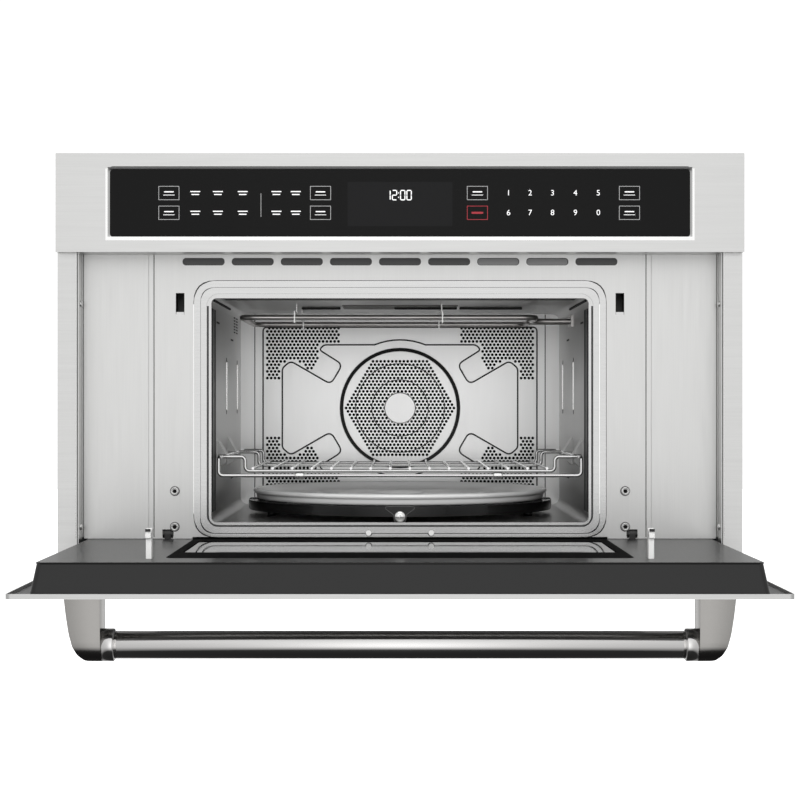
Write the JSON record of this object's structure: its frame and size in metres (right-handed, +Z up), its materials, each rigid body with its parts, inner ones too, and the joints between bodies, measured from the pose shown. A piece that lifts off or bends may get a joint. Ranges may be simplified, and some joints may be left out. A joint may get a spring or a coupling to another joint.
{
  "type": "built-in microwave",
  "caption": "Built-in convection microwave with a touch-glass fascia, drop-down door with bar handle, wire rack, driven turntable and convection fan behind the cavity.",
  "frame": {"origin": "centre of the base's underside, which stands on the cabinet's shelf", "axes": "+X to the right seen from the front, +Y to the back, +Z up"},
  "size_m": [0.756, 0.8324, 0.526],
  "materials": {
    "brushed_stainless": "fine horizontal brushing",
    "satin_plate": "satin sheet",
    "cavity_steel": "plain stainless",
    "galvanised_steel": "galvanised sheet",
    "control_black_glass": "gloss black",
    "door_glass": "dark tinted",
    "dark_enamel": "satin charcoal",
    "screen_black": "matt black",
    "polished_steel": "polished",
    "bracket_metal": "warm satin",
    "element_steel": "heat-treated tube",
    "tray_enamel": "speckle-free grey glaze",
    "support_black": "gloss black",
    "hook_white": "moulded",
    "inner_plastic": "moulded",
    "circuit_board": "laminate",
    "display_panel": "panel",
    "motor_steel": "plain",
    "fan_aluminium": "pressed",
    "mica": "sheet",
    "bumper_rubber": "soft",
    "fastener_steel": "zinc-plated",
    "lamp_glass": "lamp holder with frosted lens"
  },
  "bodies": {
    "chassis": {"control_fascia": "brushed_stainless", "left_side_trim": "brushed_stainless", "right_side_trim": "brushed_stainless", "lower_trim": "brushed_stainless", "front_plate": "satin_plate", "left_filler_panel": "satin_plate", "right_filler_panel": "satin_plate", "cavity_front_frame": "satin_plate", "cavity_shell": "cavity_steel", "cavity_back_wall": "cavity_steel", "rack_supports": "cavity_steel", "base_pan": "galvanised_steel", "outer_wrapper": "galvanised_steel", "rear_panel": "galvanised_steel", "convection_housing": "galvanised_steel", "waveguide": "galvanised_steel", "control_glass": "control_black_glass", "broil_element": "element_steel", "convection_heater": "element_steel", "latch_housings": "inner_plastic", "interlock_switches": "inner_plastic", "blower_housing": "inner_plastic", "cord_gland": "inner_plastic", "control_board": "circuit_board", "power_board": "circuit_board", "display_module": "display_panel", "convection_motor": "motor_steel", "turntable_motor": "motor_steel", "blower_motor": "motor_steel", "magnetron": "motor_steel", "hv_transformer": "motor_steel", "hv_capacitor": "motor_steel", "waveguide_cover": "mica", "door_bumpers": "bumper_rubber", "plate_screws": "fastener_steel", "rear_panel_screws": "fastener_steel", "hinge_pins": "fastener_steel", "hinge_brackets": "fastener_steel", "broil_element_clips": "fastener_steel", "cavity_lamp": "lamp_glass"},
    "door": {"door_skin": "brushed_stainless", "door_outer_glass": "door_glass", "door_liner": "dark_enamel", "door_screen": "screen_black", "door_inner_glass": "door_glass", "handle_bar": "polished_steel", "handle_brackets": "bracket_metal", "handle_screws": "fastener_steel", "hinge_arms": "fastener_steel", "latch_carriers": "inner_plastic"},
    "left_hook": {"left_latch_hook": "hook_white"},
    "right_hook": {"right_latch_hook": "hook_white"},
    "rack": {"wire_rack": "polished_steel"},
    "turntable": {"turntable_support": "support_black", "turntable_tray": "tray_enamel"},
    "wheel_1": {"roller_wheel_1": "polished_steel"},
    "wheel_2": {"roller_wheel_2": "polished_steel"},
    "wheel_3": {"roller_wheel_3": "polished_steel"},
    "fan": {"convection_fan": "fan_aluminium"},
    "blower": {"blower_wheel": "inner_plastic"}
  },
  "joints": [
    {"name": "door_hinge", "type": "hinge", "parent": "chassis", "child": "door", "pos_m": [0, -0.246, 0.065], "axis": [1, 0, 0], "range_deg": [-90, 0]},
    {"name": "rack_slide", "type": "slide", "parent": "chassis", "child": "rack", "axis": [0, -1, 0], "range_m": [0, 0.16]},
    {"name": "turntable_spin", "type": "hinge", "parent": "chassis", "child": "turntable", "pos_m": [0, -0.05, 0.077], "axis": [0, 0, 1], "continuous": true},
    {"name": "fan_spin", "type": "hinge", "parent": "chassis", "child": "fan", "pos_m": [0, 0.184, 0.205], "axis": [0, 1, 0], "continuous": true},
    {"name": "blower_spin", "type": "hinge", "parent": "chassis", "child": "blower", "pos_m": [-0.245, -0.036, 0.3982], "axis": [0, 1, 0], "continuous": true},
    {"name": "left_hook_pivot", "type": "hinge", "parent": "door", "child": "left_hook", "pos_m": [-0.2458, -0.5, 0.049], "axis": [-1, 0, 0], "range_deg": [0, 6], "stiffness_Nm_per_rad": 0.2, "springref_deg": -11.46},
    {"name": "right_hook_pivot", "type": "hinge", "parent": "door", "child": "right_hook", "pos_m": [0.2458, -0.5, 0.049], "axis": [-1, 0, 0], "range_deg": [0, 6], "stiffness_Nm_per_rad": 0.2, "springref_deg": -11.46},
    {"name": "wheel_1_spin", "type": "hinge", "parent": "turntable", "child": "wheel_1", "pos_m": [0, -0.2368, 0.084], "axis": [0, -1, 0], "continuous": true},
    {"name": "wheel_2_spin", "type": "hinge", "parent": "turntable", "child": "wheel_2", "pos_m": [0.16177, 0.0434, 0.084], "axis": [0.866, 0.5, 0], "continuous": true},
    {"name": "wheel_3_spin", "type": "hinge", "parent": "turntable", "child": "wheel_3", "pos_m": [-0.16177, 0.0434, 0.084], "axis": [-0.866, 0.5, 0], "continuous": true}
  ],
  "couplings": [
    {"joint": "wheel_1_spin", "follows": "turntable_spin", "ratio": -27.881},
    {"joint": "wheel_2_spin", "follows": "turntable_spin", "ratio": -27.881},
    {"joint": "wheel_3_spin", "follows": "turntable_spin", "ratio": -27.881}
  ]
}
